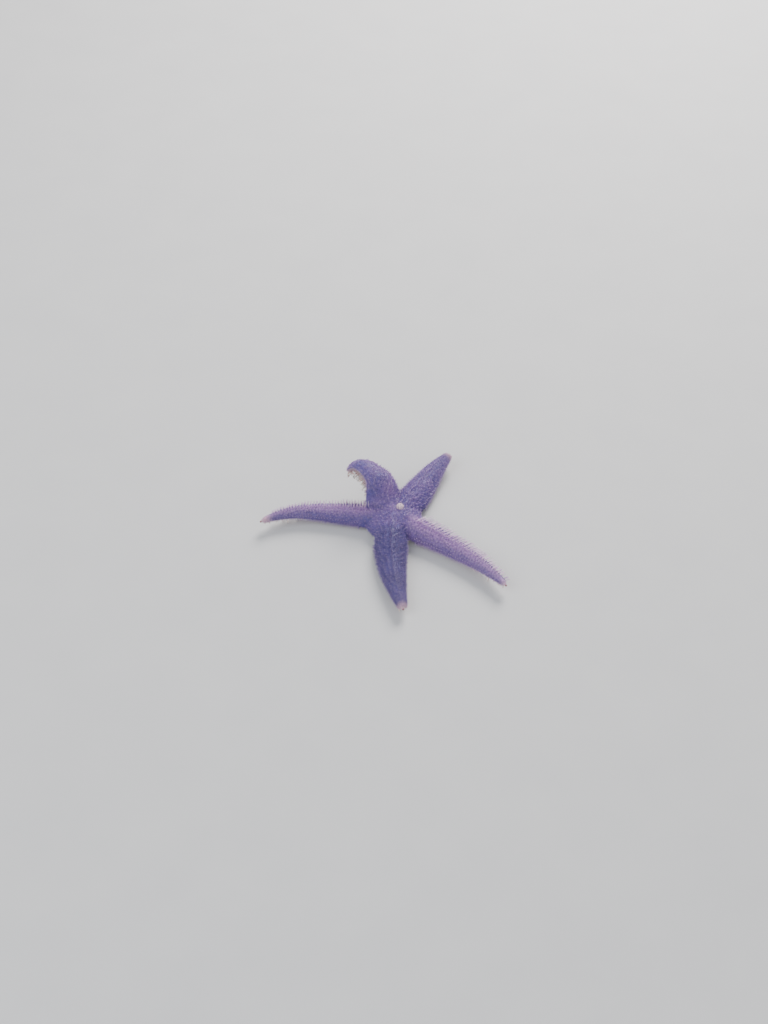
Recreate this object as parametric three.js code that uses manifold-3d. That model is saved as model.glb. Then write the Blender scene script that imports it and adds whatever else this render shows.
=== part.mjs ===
// A young common starfish at life size, resting on a level surface with one arm tip reared.
// Millimetres and degrees, +Z up. The origin is at the middle of the floor that it covers.
import * as THREE from "three";
import { mergeVertices } from "three/addons/utils/BufferGeometryUtils.js";
import Module from "manifold-3d";

const wasm = await Module();
wasm.setup();

// Where the mouth stands over the floor, so that the whole animal is centred on the origin.
const MOUTH_AT = new THREE.Vector2(3.5, 4);

// The arms, anticlockwise from above. Heading is where an arm leaves the mouth, sway turns it
// evenly all along and hook turns its outer part. Rear lifts the outer part, droop bends the end
// down again and roll tips its back over to the right-hand side. Length runs from the mouth to
// the tip, girth scales the thickness, and a fuller arm keeps its thickness further out.
const ARMS = {
  back_right: { heading: 57, sway: 7, hook: -12, rear: 7, droop: 0, roll: 0, length: 29.6, girth: 1.08, fullness: 2.1 },
  back_left: { heading: 118, sway: 24, hook: 4, rear: 46, droop: 86, roll: 56, length: 20.4, girth: 1.42, fullness: 3 },
  left: { heading: 166, sway: 20, hook: 27, rear: 5, droop: 0, roll: 0, length: 37.4, girth: 0.9, fullness: 1.6 },
  front: { heading: 260, sway: 31, hook: -6, rear: 4, droop: 0, roll: 0, length: 33.2, girth: 1.16, fullness: 1.6 },
  right: { heading: 332, sway: -23, hook: -5, rear: 5, droop: 0, roll: 0, length: 38.8, girth: 0.92, fullness: 1.6 },
};
// Shares of the length between which hook, rear, droop, roll and girth come to the full.
const BEND = [0.5, 1];
const REAR = [0.2, 0.74];
const DROOP = [0.66, 1];
const ROLL = [0.12, 0.6];
const GIRTH = [0, 0.35];

// An arm's cross-section: an arch over a flat sole, tapering to a blunt tip.
const SOLE_HEIGHT = 1.45; // height of the widest line above the floor
const ARM_HALF_WIDTH = 4.3;
const ARM_ARCH = 1.08; // height of the arch as a share of the half width
const ARM_SOLE = 0.16; // depth below the widest line, as a share of the half width
const TAPER = 0.75; // share of the half width lost at the tip
const TIP_ROUNDING = 0.045; // share of the length that the round end takes
const ARM_SIDES = 12;
const SOLE_SIDES = 3; // of those, how many span the sole
const ARM_STEPS = 9; // lengths that a straight arm is divided into
const TURN_PER_STEP = 28; // a bent arm has another length for each such turn, in degrees
const ROUNDING_STEPS = 2;

// The groove under each arm, and the tube feet in it.
const GROOVE_HALF_WIDTH = 0.36; // as a share of the arm's half width
const GROOVE_DEPTH = 0.42;
const GROOVE_FROM = 0.03; // share of the arm's length
const GROOVE_SIDES = 6;
const FEET_PER_ROW = 4;
const FEET_TO = 0.88; // share of the arm's length
const DISC_FEET_OUT = 6.4; // distance from the mouth
const FOOT_OUT = 0.2; // distance from the midline, as a share of the half width
const FOOT_STEM = 0.38; // radii of a foot: its stem, and the sucker that it stands on
const FOOT_SUCKER = 0.52;
const FOOT_SIDES = 4;
const FREE_FOOT_LENGTH = 2.0; // a foot that reaches for nothing

// The disc in the middle.
const DISC_RADIUS = 7.9;
const DISC_TOP = 6.3; // above the floor
const DISC_SIDES = 16;
const DISC_STEPS = 4;
const PART_RADIUS = 10; // where the arms are parted from the disc
const CUT = 0.25; // width of a parting cut
const FAR = 60; // larger than the whole animal

// Madreporite, mouth, arm tips and eyespots.
const MADREPORITE = { heading: 40, out: 2.1, radius: 1.0, height: 1.3, proud: 0.7 };
const MOUTH = { radius: 2.1, hole: 0.6, thickness: 0.6, bottom: 1.9 };
const TIP_START = 0.925;
const EYE_RADIUS = 0.42;
const EYE_GAP = 0.05;

// Rows of spines along an arm. Side is in degrees round the section from its left edge, and
// clear is how far a row starts from the cut at the disc.
const SPINE_ROWS = [
  { side: 90, count: 9, length: 1.3, radius: 0.5, clear: 0.8 },
  { side: 46, count: 5, length: 1.2, radius: 0.5, clear: 1.6 },
  { side: 134, count: 5, length: 1.2, radius: 0.5, clear: 1.6 },
  { side: 4, count: 7, length: 1.3, radius: 0.45, clear: 2 },
  { side: 176, count: 7, length: 1.3, radius: 0.45, clear: 2 },
];
const SPINES_TO = 0.89;
const SPINE_SIDES = 3;
const SPINE_ROOT = 0.6; // depth sunk in the body
const FOOT_CLEAR = 0.8; // from the cut to the middle of the first foot
const DISC_RINGS = [
  { out: 4, count: 6 },
  { out: 7, count: 5 },
];

const COLOURS = {
  disc: 0x6f62a6,
  arm: 0x7563ad,
  tip: 0xd8a9b4,
  madreporite: 0xe6ccd2,
  mouth: 0xcbb6b0,
  eye: 0xa8352f,
};

const { degToRad, smoothstep, lerp } = THREE.MathUtils;

// ---- solids -----------------------------------------------------------------------------

function solid(geometry) {
  const bare = geometry.clone();
  bare.deleteAttribute("normal");
  bare.deleteAttribute("uv");
  const merged = mergeVertices(bare, 1e-4);
  return new wasm.Manifold(
    new wasm.Mesh({
      numProp: 3,
      vertProperties: merged.attributes.position.array,
      triVerts: new Uint32Array(merged.index.array),
    }),
  );
}

function mesh(name, shape, colour, roughness) {
  const { vertProperties, triVerts } = shape.getMesh();
  const geometry = new THREE.BufferGeometry();
  geometry.setAttribute("position", new THREE.BufferAttribute(vertProperties, 3));
  geometry.setIndex(new THREE.BufferAttribute(triVerts, 1));
  geometry.computeVertexNormals();
  const material = new THREE.MeshStandardMaterial({ color: colour, roughness, metalness: 0 });
  const made = new THREE.Mesh(geometry, material);
  made.name = name;
  return made;
}

const join = (shapes) => shapes.reduce((a, b) => a.add(b));

// Turns a geometry's own +Y to point along a direction and moves its origin to a point.
function place(geometry, point, direction) {
  const turn = new THREE.Quaternion().setFromUnitVectors(
    new THREE.Vector3(0, 1, 0),
    direction.clone().normalize(),
  );
  return geometry.applyQuaternion(turn).translate(point.x, point.y, point.z);
}

// ---- the line of an arm -------------------------------------------------------------------

function bearing(arm, u) {
  return {
    heading: degToRad(arm.heading + arm.sway * u + arm.hook * smoothstep(u, ...BEND)),
    pitch: degToRad(arm.rear * smoothstep(u, ...REAR) - arm.droop * smoothstep(u, ...DROOP)),
    roll: degToRad(arm.roll * smoothstep(u, ...ROLL)),
  };
}

// Unit vectors at share u of an arm: along it, to its left and up through its back.
function axesAt(arm, u) {
  const { heading, pitch, roll } = bearing(arm, u);
  const along = new THREE.Vector3(
    Math.cos(pitch) * Math.cos(heading),
    Math.cos(pitch) * Math.sin(heading),
    Math.sin(pitch),
  );
  const left = new THREE.Vector3(-Math.sin(heading), Math.cos(heading), 0);
  left.applyAxisAngle(along, roll);
  return { along, left, up: along.clone().cross(left) };
}

const LINE_STEPS = 60;

function lineOf(arm) {
  const points = [new THREE.Vector3(0, 0, SOLE_HEIGHT)];
  for (let k = 0; k < LINE_STEPS; k++) {
    const { along } = axesAt(arm, (k + 0.5) / LINE_STEPS);
    points.push(points[k].clone().addScaledVector(along, arm.length / LINE_STEPS));
  }
  return points;
}

function halfWidth(arm, u) {
  const girth = lerp(1, arm.girth, smoothstep(u, ...GIRTH));
  return ARM_HALF_WIDTH * girth * (1 - TAPER * u ** arm.fullness);
}

// The middle line. Where an arm rolls over, it is lifted so as to turn on its right-hand edge.
function middleAt(arm, u) {
  arm.line ??= lineOf(arm);
  const step = Math.min(Math.floor(u * LINE_STEPS), LINE_STEPS - 1);
  const point = arm.line[step].clone().lerp(arm.line[step + 1], u * LINE_STEPS - step);
  point.z += halfWidth(arm, u) * Math.sin(bearing(arm, u).roll);
  return point;
}

// A point at share u of an arm, set off to the left and up.
function pointAt(arm, u, left, up) {
  const axes = axesAt(arm, u);
  return middleAt(arm, u).addScaledVector(axes.left, left).addScaledVector(axes.up, up);
}

// How far left and up of the middle line the skin is, on the side at an angle from the left edge.
function sectionAt(arm, u, angle) {
  const a = halfWidth(arm, u);
  const lift = Math.sin(angle);
  const rise = lift >= 0 ? ARM_ARCH * lift : -ARM_SOLE * Math.sqrt(-lift);
  return [a * Math.cos(angle), a * rise];
}

// ---- arms -----------------------------------------------------------------------------------

// The turn about a form's axis, from 0 to 1, as an angle round the section: few sides span the sole.
function sectionAngle(turn) {
  const arch = 1 - SOLE_SIDES / ARM_SIDES;
  return turn <= arch ? (Math.PI * turn) / arch : Math.PI * (1 + (turn - arch) / (1 - arch));
}

// A straight turned form along Y from 0 to 1, of radius 1, is laid along an arm.
function layAlong(arm, form, shape) {
  const at = form.attributes.position;
  for (let i = 0; i < at.count; i++) {
    const out = Math.hypot(at.getX(i), at.getZ(i));
    const turn = Math.atan2(at.getX(i), at.getZ(i)) / (2 * Math.PI);
    const [left, up] = shape(at.getY(i), sectionAngle((turn + 1) % 1));
    const p = pointAt(arm, at.getY(i), out * left, out * up);
    at.setXYZ(i, p.x, p.y, p.z);
  }
  return solid(form);
}

function turnedForm(arm, from, rounding, sides) {
  const steps = ARM_STEPS + Math.round((Math.abs(arm.hook) + arm.droop) / TURN_PER_STEP);
  const profile = [new THREE.Vector2(0, from)];
  const straight = 1 - rounding;
  for (let k = 0; k <= steps; k++)
    profile.push(new THREE.Vector2(1, lerp(from, straight, k / steps)));
  for (let k = 1; k <= ROUNDING_STEPS; k++) {
    const turn = (k / ROUNDING_STEPS) * (Math.PI / 2);
    const out = k < ROUNDING_STEPS ? Math.cos(turn) : 0;
    profile.push(new THREE.Vector2(out, straight + rounding * Math.sin(turn)));
  }
  return new THREE.LatheGeometry(profile, sides);
}

function armFlesh(arm) {
  const form = turnedForm(arm, 0, TIP_ROUNDING, ARM_SIDES);
  return layAlong(arm, form, (u, angle) => sectionAt(arm, u, angle));
}

function groove(arm) {
  const form = turnedForm(arm, GROOVE_FROM, TIP_ROUNDING, GROOVE_SIDES);
  return layAlong(arm, form, (u, angle) => {
    const a = halfWidth(arm, u);
    const up = GROOVE_DEPTH * a * Math.sin(angle);
    return [GROOVE_HALF_WIDTH * a * Math.cos(angle), up - ARM_SOLE * a];
  });
}

function spine(root, direction, length, radius) {
  const tall = length + SPINE_ROOT;
  const form = new THREE.ConeGeometry(radius, tall, SPINE_SIDES);
  form.translate(0, tall / 2 - SPINE_ROOT, 0);
  return solid(place(form, root, direction));
}

// Share of an arm's length at a distance out from the cut at the disc.
const shareBeyondCut = (arm, clear) => (PART_RADIUS + CUT + clear) / arm.length;

// Straight out of the arm's side at an angle, and a little towards the tip.
function outwardAt(arm, u, angle) {
  const axes = axesAt(arm, u);
  const arch = Math.sin(angle) >= 0 ? ARM_ARCH : 1;
  return new THREE.Vector3()
    .addScaledVector(axes.left, ARM_ARCH * Math.cos(angle))
    .addScaledVector(axes.up, Math.sin(angle) / arch)
    .addScaledVector(axes.along, 0.25)
    .normalize();
}

function armSpines(arm) {
  const made = [];
  for (const { side, count, length, radius, clear } of SPINE_ROWS) {
    const angle = degToRad(side);
    for (let k = 0; k < count; k++) {
      const u = lerp(shareBeyondCut(arm, clear), SPINES_TO, k / (count - 1));
      const small = 1 - 0.5 * u ** 2;
      const root = pointAt(arm, u, ...sectionAt(arm, u, angle));
      made.push(spine(root, outwardAt(arm, u, angle), length * small, radius * small));
    }
  }
  return made;
}

// A pair of feet across the groove. They stand on the floor, or reach out from a reared end.
function footPair(arm, u) {
  const a = halfWidth(arm, u);
  const size = 1 - 0.3 * u;
  const axes = axesAt(arm, u);
  const stands = axes.up.z > 0.95;
  return [-1, 1].map((side) => {
    const top = pointAt(arm, u, side * FOOT_OUT * a, (GROOVE_DEPTH - ARM_SOLE + 0.05) * a);
    const spread = axes.up.clone().negate().addScaledVector(axes.left, 0.35 * side);
    const down = stands ? new THREE.Vector3(0, 0, -1) : spread;
    const reach = stands ? top.z : FREE_FOOT_LENGTH + GROOVE_DEPTH * a;
    const [sucker, stem] = [FOOT_SUCKER * size, FOOT_STEM * size];
    const form = new THREE.CylinderGeometry(sucker, stem, reach, FOOT_SIDES);
    return solid(place(form.translate(0, reach / 2, 0), top, down));
  });
}

function tubeFeet(arm) {
  const made = [];
  for (let k = 0; k < FEET_PER_ROW; k++) {
    made.push(...footPair(arm, lerp(shareBeyondCut(arm, FOOT_CLEAR), FEET_TO, k / (FEET_PER_ROW - 1))));
  }
  return made;
}

// ---- disc -----------------------------------------------------------------------------------

const discHeight = (out) => (DISC_TOP - SOLE_HEIGHT) * Math.sqrt(1 - (out / DISC_RADIUS) ** 2);

function discFlesh() {
  const profile = [new THREE.Vector2(0, -ARM_SOLE * ARM_HALF_WIDTH)];
  for (let k = 0; k <= DISC_STEPS; k++) {
    const turn = (k / DISC_STEPS) * (Math.PI / 2);
    const out = k < DISC_STEPS ? DISC_RADIUS * Math.cos(turn) : 0;
    if (k === 0) profile.push(new THREE.Vector2(out - 1.2, profile[0].y));
    profile.push(new THREE.Vector2(out, (DISC_TOP - SOLE_HEIGHT) * Math.sin(turn)));
  }
  const form = new THREE.LatheGeometry(profile, DISC_SIDES);
  return solid(form.rotateX(Math.PI / 2).translate(0, 0, SOLE_HEIGHT));
}

// A place on the back of the disc, and the direction straight out of it there.
function onDisc(headingDegrees, out) {
  const heading = degToRad(headingDegrees);
  const away = new THREE.Vector3(Math.cos(heading), Math.sin(heading), 0);
  const height = discHeight(out);
  const lean = (out * (DISC_TOP - SOLE_HEIGHT) ** 2) / DISC_RADIUS ** 2 / height;
  const point = away.clone().multiplyScalar(out).setZ(SOLE_HEIGHT + height);
  return { point, outward: away.multiplyScalar(lean).setZ(1).normalize() };
}

function discSpines() {
  const made = [];
  for (const { out, count } of DISC_RINGS)
    for (let k = 0; k < count; k++) {
      const heading = MADREPORITE.heading + ((k + 0.5) / count) * 360;
      const { point, outward } = onDisc(heading, out);
      made.push(spine(point, outward, 1.1, 0.4));
    }
  return made;
}

function rod(radius, bottom, top, sides) {
  const form = new THREE.CylinderGeometry(radius, radius, top - bottom, sides);
  return solid(form.rotateX(Math.PI / 2).translate(0, 0, (bottom + top) / 2));
}

function plug(point, outward, radius, sunk, proud, sides) {
  const profile = [new THREE.Vector2(0, -sunk), new THREE.Vector2(radius, -sunk)];
  for (const turn of [0, 30, 60, 90].map(degToRad))
    profile.push(new THREE.Vector2(turn < 1.5 ? radius * Math.cos(turn) : 0, proud * Math.sin(turn)));
  return solid(place(new THREE.LatheGeometry(profile, sides), point, outward));
}

function mouthRing(gap) {
  const half = MOUTH.radius + gap;
  const top = MOUTH.bottom + MOUTH.thickness + gap;
  if (gap) return rod(half, -1, top, 12);
  return rod(half, MOUTH.bottom, top, 12).subtract(rod(MOUTH.hole, 0, DISC_TOP, 8));
}

// ---- the whole animal -----------------------------------------------------------------------

// A block that covers all of an arm beyond share u.
function beyond(arm, u) {
  const width = 3 * halfWidth(arm, u);
  const length = (1 - u) * arm.length + 1;
  const block = new THREE.BoxGeometry(width, length, width).translate(0, length / 2, 0);
  return solid(place(block, middleAt(arm, u), axesAt(arm, u).along));
}

function eyePlace(arm) {
  const { along, up } = axesAt(arm, 1);
  return middleAt(arm, 1).addScaledVector(along, -0.12).addScaledVector(up, 0.12);
}

function eyeBall(arm, radius) {
  const at = eyePlace(arm);
  return solid(new THREE.SphereGeometry(radius, 6, 5).translate(at.x, at.y, at.z));
}

const starfish = new THREE.Group();
const core = rod(PART_RADIUS, -FAR, FAR, 24);
const coreAndCut = rod(PART_RADIUS + CUT, -FAR, FAR, 24);
const arms = Object.entries(ARMS);
const grooves = join(arms.map(([, arm]) => groove(arm)));
let disc = join([discFlesh(), ...arms.map(([, arm]) => armFlesh(arm))]).intersect(core);
disc = join([disc, ...discSpines()]).subtract(grooves);
const innerFeet = arms.flatMap(([, arm]) => footPair(arm, DISC_FEET_OUT / arm.length));
disc = join([disc, ...innerFeet]);

for (const [name, arm] of arms) {
  const whole = armFlesh(arm).subtract(groove(arm)).subtract(coreAndCut);
  const end = beyond(arm, TIP_START);
  const tip = whole.intersect(end).subtract(eyeBall(arm, EYE_RADIUS + EYE_GAP));
  const shaft = whole.subtract(beyond(arm, TIP_START - CUT / arm.length));
  const dressed = join([shaft, ...armSpines(arm), ...tubeFeet(arm)]).subtract(end);
  const kept = dressed.subtract(coreAndCut);
  starfish.add(mesh("arm_" + name, kept, COLOURS.arm, 0.55));
  starfish.add(mesh("tip_" + name, tip, COLOURS.tip, 0.5));
  starfish.add(mesh("eyespot_" + name, eyeBall(arm, EYE_RADIUS), COLOURS.eye, 0.35));
}

const sieve = onDisc(MADREPORITE.heading, MADREPORITE.out);
const { radius, height, proud } = MADREPORITE;
disc = disc.subtract(plug(sieve.point, sieve.outward, radius + CUT, height + CUT - proud, FAR, 14));
disc = disc.subtract(mouthRing(CUT));
starfish.add(mesh("disc", disc, COLOURS.disc, 0.55));
starfish.add(
  mesh(
    "madreporite",
    plug(sieve.point, sieve.outward, radius, height - proud, proud, 12),
    COLOURS.madreporite,
    0.6,
  ),
);
starfish.add(mesh("mouth", mouthRing(0), COLOURS.mouth, 0.5));
starfish.position.set(MOUTH_AT.x, MOUTH_AT.y, 0);

export default starfish;
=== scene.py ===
import math
import bpy
import numpy as np
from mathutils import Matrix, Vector
from mathutils.bvhtree import BVHTree
from mathutils.kdtree import KDTree


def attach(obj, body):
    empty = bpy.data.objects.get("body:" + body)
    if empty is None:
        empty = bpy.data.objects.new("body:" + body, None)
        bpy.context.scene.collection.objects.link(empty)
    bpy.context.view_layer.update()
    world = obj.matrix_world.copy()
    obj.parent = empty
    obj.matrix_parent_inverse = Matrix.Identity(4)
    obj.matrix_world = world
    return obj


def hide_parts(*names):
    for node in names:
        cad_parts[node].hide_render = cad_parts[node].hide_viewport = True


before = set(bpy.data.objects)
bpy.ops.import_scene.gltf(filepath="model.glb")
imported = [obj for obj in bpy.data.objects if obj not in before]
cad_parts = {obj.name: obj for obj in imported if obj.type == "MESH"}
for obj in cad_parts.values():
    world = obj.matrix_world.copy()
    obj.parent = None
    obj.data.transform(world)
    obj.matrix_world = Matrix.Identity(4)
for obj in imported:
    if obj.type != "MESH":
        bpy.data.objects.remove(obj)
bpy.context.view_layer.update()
dice = np.random.default_rng(11)
mm = 0.001  # everything is made in millimetres and brought to metres at its end

armPlans = {  # the bends of each arm, anticlockwise from above
    "back_right": dict(heading=57, sway=7, hook=-12, rear=7, length=29.6, girth=1.08, fullness=2.1),
    "back_left": dict(
        heading=118, sway=24, hook=4, rear=46, length=20.4, girth=1.42, fullness=3, droop=86, roll=56,
    ),
    "left": dict(heading=166, sway=20, hook=27, rear=5, length=37.4, girth=0.9, fullness=1.6),
    "front": dict(heading=260, sway=31, hook=-6, rear=4, length=33.2, girth=1.16, fullness=1.6),
    "right": dict(heading=332, sway=-23, hook=-5, rear=5, length=38.8, girth=0.92, fullness=1.6),
}
armLooks = {  # how pink and bright its ridge and flanks are painted, which is painted light and shade: the lit arms pinker, the shaded front arm dark; and where its tip pales
    "back_right": dict(bloom=0.52, flush=0.46, paleFrom=0.9),
    "back_left": dict(bloom=0.72, flush=0.46, paleFrom=0.92, footReach=1.5),
    "left": dict(bloom=1.0, flush=0.42, paleFrom=0.89, fringe=-0.62, comb=(0.05, 0.3, 0.25)),
    "front": dict(bloom=0.16, flush=0.13, paleFrom=0.92),
    "right": dict(bloom=1.25, flush=0.56, paleFrom=0.93, fringe=1, comb=(1.25, 0.1, 0.05)),
}
body = dict(
    mouth=(3.5, 4.0),  # where the mouth stands over the floor
    soleHeight=1.45, halfWidth=4.3, arch=1.08, sole=0.16, taper=0.75,
    bend=(0.5, 1), rear=(0.2, 0.74), droop=(0.66, 1), roll=(0.12, 0.6), girth=(0, 0.35),
    tipRounding=0.045, discRadius=7.9, discTop=6.3,
)
skin = dict(
    coat=0.36,  # how far the skin lies inside the solids
    undercut=1.2,  # and how far the disc's edge is drawn in below
    grooveWidth=0.36, grooveDepth=0.42, mouthRadius=2.2, mouthDepth=2.6,
    voxel=0.22, cutterVoxel=0.3, smooth=5,
)


def ease(value, start, end):
    share = np.clip((value - start) / (end - start), 0, 1)
    return share * share * (3 - 2 * share)


def unit(vectors):
    return vectors / np.maximum(np.linalg.norm(vectors, axis=-1, keepdims=True), 1e-9)


def turns(count):  # angles all the way round
    return np.linspace(0, 2 * math.pi, count, endpoint=False)


def overMouth(height):
    return np.array([*body["mouth"], height])


class Arm:
    droop, roll = 0, 0  # only a reared arm bends over and turns on its side
    fringe, comb = 0, (0, 0, 0)  # how long its threads are, right edge above nought, and how they lean
    footReach = 1  # how long and thick its tube feet are

    def __init__(self, name, number, plan, steps=120):
        self.name, self.number = name, number
        self.__dict__.update(plan, **armLooks[name])
        self.u = np.linspace(0, 1, steps + 1)
        self.along, self.left, self.up = self.axes(self.u)
        between, _, _ = self.axes((self.u[1:] + self.u[:-1]) / 2)
        start = overMouth(body["soleHeight"])
        self.middle = np.vstack([start, start + np.cumsum(between * self.length / steps, axis=0)])
        raised = np.sin(self.rollAt(self.u))  # it rolls on its right-hand edge
        self.middle[:, 2] += self.half(self.u) * raised

    def rollAt(self, u):
        return np.radians(self.roll * ease(u, *body["roll"]))

    def axes(self, u):
        heading = np.radians(self.heading + self.sway * u + self.hook * ease(u, *body["bend"]))
        pitch = np.radians(self.rear * ease(u, *body["rear"]) - self.droop * ease(u, *body["droop"]))
        roll = self.rollAt(u)[..., None]
        flat = np.stack([-np.sin(heading), np.cos(heading), 0 * heading], -1)
        level = np.cos(pitch)
        along = np.stack([level * np.cos(heading), level * np.sin(heading), np.sin(pitch)], -1)
        left = flat * np.cos(roll) + np.cross(along, flat) * np.sin(roll)
        return along, left, np.cross(along, left)

    def half(self, u):
        girth = 1 + (self.girth - 1) * ease(u, *body["girth"])
        return body["halfWidth"] * girth * (1 - body["taper"] * np.asarray(u, float) ** self.fullness)

    def at(self, u, table):
        return np.stack([np.interp(u, self.u, table[:, k]) for k in range(3)], -1)

    def point(self, u, left, up):  # a point set off to the left and up of the middle line
        across, over = self.at(u, self.left), self.at(u, self.up)
        aside = across * np.asarray(left)[..., None]
        return self.at(u, self.middle) + aside + over * np.asarray(up)[..., None]

    def section(self, u, angle, shrink=0.0):  # how far left and up the skin is; angles start at the left
        reach = self.half(u) - shrink
        lift = np.sin(angle)
        rise = np.where(lift >= 0, body["arch"] * lift, -body["sole"] * np.sqrt(np.maximum(-lift, 0)))
        return reach * np.cos(angle), reach * rise

    def skinPoint(self, u, angle, shrink=0.0):
        return self.point(u, *self.section(u, angle, shrink))

    def outward(self, u, angle, forward=0.0):
        over = np.sin(angle) / np.where(np.sin(angle) >= 0, body["arch"], 1)
        way = self.at(u, self.left) * np.cos(angle)[..., None] + self.at(u, self.up) * over[..., None]
        return unit(way + self.at(u, self.along) * forward)


arms = [Arm(name, number, plan) for number, (name, plan) in enumerate(armPlans.items())]


def meshObject(name, points, faces):
    mesh = bpy.data.meshes.new(name)
    mesh.from_pydata([tuple(p) for p in points], [], [tuple(f) for f in faces])
    mesh.validate()
    made = bpy.data.objects.new(name, mesh)
    bpy.context.scene.collection.objects.link(made)
    return made


def loft(rings):  # closed shell over rings of points, each ring a (sides, 3) array
    sides = rings[0].shape[0]
    points = np.vstack([*rings, rings[0].mean(0), rings[-1].mean(0)])
    start, end = len(points) - 2, len(points) - 1
    faces = []
    for ring in range(len(rings) - 1):
        for k in range(sides):
            a, b = ring * sides + k, ring * sides + (k + 1) % sides
            faces.append((a, b, b + sides, a + sides))
    for k in range(sides):
        faces.append((start, (k + 1) % sides, k))
        faces.append((end, (len(rings) - 1) * sides + k, (len(rings) - 1) * sides + (k + 1) % sides))
    return points, faces


def joined(name, shells):
    points, faces, count = [], [], 0
    for shellPoints, shellFaces in shells:
        points.append(shellPoints)
        faces += [tuple(i + count for i in face) for face in shellFaces]
        count += len(shellPoints)
    return meshObject(name, np.vstack(points), faces)


def applied(thing):  # the evaluated object's mesh in its place, with no modifiers left
    bpy.context.view_layer.update()
    evaluated = thing.evaluated_get(bpy.context.evaluated_depsgraph_get())
    mesh = bpy.data.meshes.new_from_object(evaluated)
    thing.modifiers.clear()
    thing.data = mesh
    return thing


def remeshed(thing, voxel):
    modifier = thing.modifiers.new("Remesh", "REMESH")
    modifier.mode, modifier.voxel_size = "VOXEL", voxel
    return applied(thing)


def vectorArray(items, key):
    values = np.empty(len(items) * 3, np.float32)
    items.foreach_get(key, values)
    return values.reshape(-1, 3).astype(float)


def moveVertices(mesh, points):
    mesh.vertices.foreach_set("co", points.astype(np.float32).ravel())
    mesh.update()


def keepAttribute(mesh, name, values, kind="FLOAT"):
    attribute = mesh.attributes.new(name, kind, "POINT")
    field = "vector" if kind == "FLOAT_VECTOR" else "value"
    attribute.data.foreach_set(field, values.astype(np.float32).ravel())


def dressed(thing, finish):
    thing.data.polygons.foreach_set("use_smooth", [True] * len(thing.data.polygons))
    thing.data.materials.clear()
    thing.data.materials.append(finish)


def underSole(half):  # the height that searches for the sole's skin start at
    return -body["sole"] * half - 0.2


def armShell(arm, steps=64, sides=44):
    rounding = body["tipRounding"]
    straight = np.linspace(0, 1 - rounding, steps)
    turn = np.linspace(0, math.pi / 2, 8)[1:]
    rounded = 1 - rounding + (rounding - skin["coat"] / arm.length) * np.sin(turn)
    stations = np.concatenate([straight, rounded])
    widths = np.concatenate([np.ones(steps), np.maximum(np.cos(turn), 0.02)])
    angles = turns(sides)
    rings = []
    for u, width in zip(stations, widths):
        left, up = arm.section(np.full(sides, u), angles, skin["coat"])
        rings.append(arm.point(np.full(sides, u), left * width, up * width))
    return loft(rings)


def grooveShell(arm, steps=48, sides=16):
    stations = np.linspace(0.03, 1 - 0.4 * body["tipRounding"], steps)
    angles = turns(sides)
    rings = []
    for u in stations:
        half = arm.half(u) - skin["coat"]
        left = skin["grooveWidth"] * half * np.cos(angles)
        up = skin["grooveDepth"] * half * np.sin(angles) - body["sole"] * half
        rings.append(arm.point(np.full(sides, u), left, up))
    return loft(rings)


def turned(profile, height, sides, radius=1.0):  # shell of a profile turned about the mouth's axis
    angles = turns(sides)
    circle = np.stack([np.cos(angles), np.sin(angles), 0 * angles], -1)
    return loft([overMouth(height) + circle * radius * out + (0, 0, rise) for out, rise in profile])


def domeShell(steps=14):
    radius = body["discRadius"] - skin["coat"]
    top = body["discTop"] - skin["coat"] - body["soleHeight"]
    bottom = body["sole"] * (body["halfWidth"] - skin["coat"])
    profile = [(radius - skin["undercut"], -bottom)]
    profile += [(radius * math.cos(t), top * math.sin(t)) for t in np.linspace(0, math.pi / 2 * 0.98, steps)]
    return turned(profile, body["soleHeight"], 64)


def mouthShell():
    depth = skin["mouthDepth"]
    profile = [(1.0, -0.5), (1.0, depth - 0.35), (0.8, depth), (0.1, depth + 0.1)]
    return turned(profile, 0, 32, skin["mouthRadius"])


def makeSkin():
    whole = joined("skin", [domeShell()] + [armShell(arm) for arm in arms])
    remeshed(whole, skin["voxel"])
    cutter = joined("grooves", [mouthShell()] + [grooveShell(arm) for arm in arms])
    remeshed(cutter, skin["cutterVoxel"])
    cut = whole.modifiers.new("Grooves", "BOOLEAN")
    cut.operation, cut.solver, cut.object = "DIFFERENCE", "MANIFOLD", cutter
    applied(whole)
    bpy.data.objects.remove(cutter)
    remeshed(whole, skin["voxel"])
    smooth = whole.modifiers.new("Smooth", "SMOOTH")
    smooth.factor, smooth.iterations = 0.5, skin["smooth"]
    return applied(whole)


skinPiece = makeSkin()
print("skin", len(skinPiece.data.vertices), "points", flush=True)


# the marks that skin and coat share
marks = dict(
    discReach=(2.5, 9), discBlush=0.55,  # the disc's tint gives way to the arm's painted light and shade between these
    litCrestWidth=36,  # degrees; the band along each ridge that is painted as lit, painted light
    shadeUnderThreads=(0.15, 0.6), palesOver=0.08, underFrom=(0.04, 0.13), island=0.92,
)


def onArm(arm, points, normals):  # how far along and round an arm points lie, and how far off
    squares = (points ** 2).sum(1)[:, None] + (arm.middle ** 2).sum(1)[None] - 2 * points @ arm.middle.T
    near = squares.argmin(1)
    step = points - arm.middle[near]
    u = np.clip(arm.u[near] + (step * arm.along[near]).sum(1) / arm.length, 0, 1)
    off = points - arm.at(u, arm.middle)
    left, up = (off * arm.at(u, arm.left)).sum(1), (off * arm.at(u, arm.up)).sum(1)
    facing = (normals * arm.at(u, arm.up)).sum(1)
    inside = (facing < 0) & (up > -0.5 * body["sole"] * arm.half(u))  # in the groove, or under the disc
    up = np.where(inside & (np.abs(left) < 0.55 * arm.half(u)), -np.abs(up) - 0.3, up)
    angle = np.arctan2(up / body["arch"], left)
    distance = np.sqrt(np.maximum(squares.min(1), 0)) / arm.half(u)
    return u, np.where(angle < -math.pi / 2, angle + 2 * math.pi, angle), distance


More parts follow.
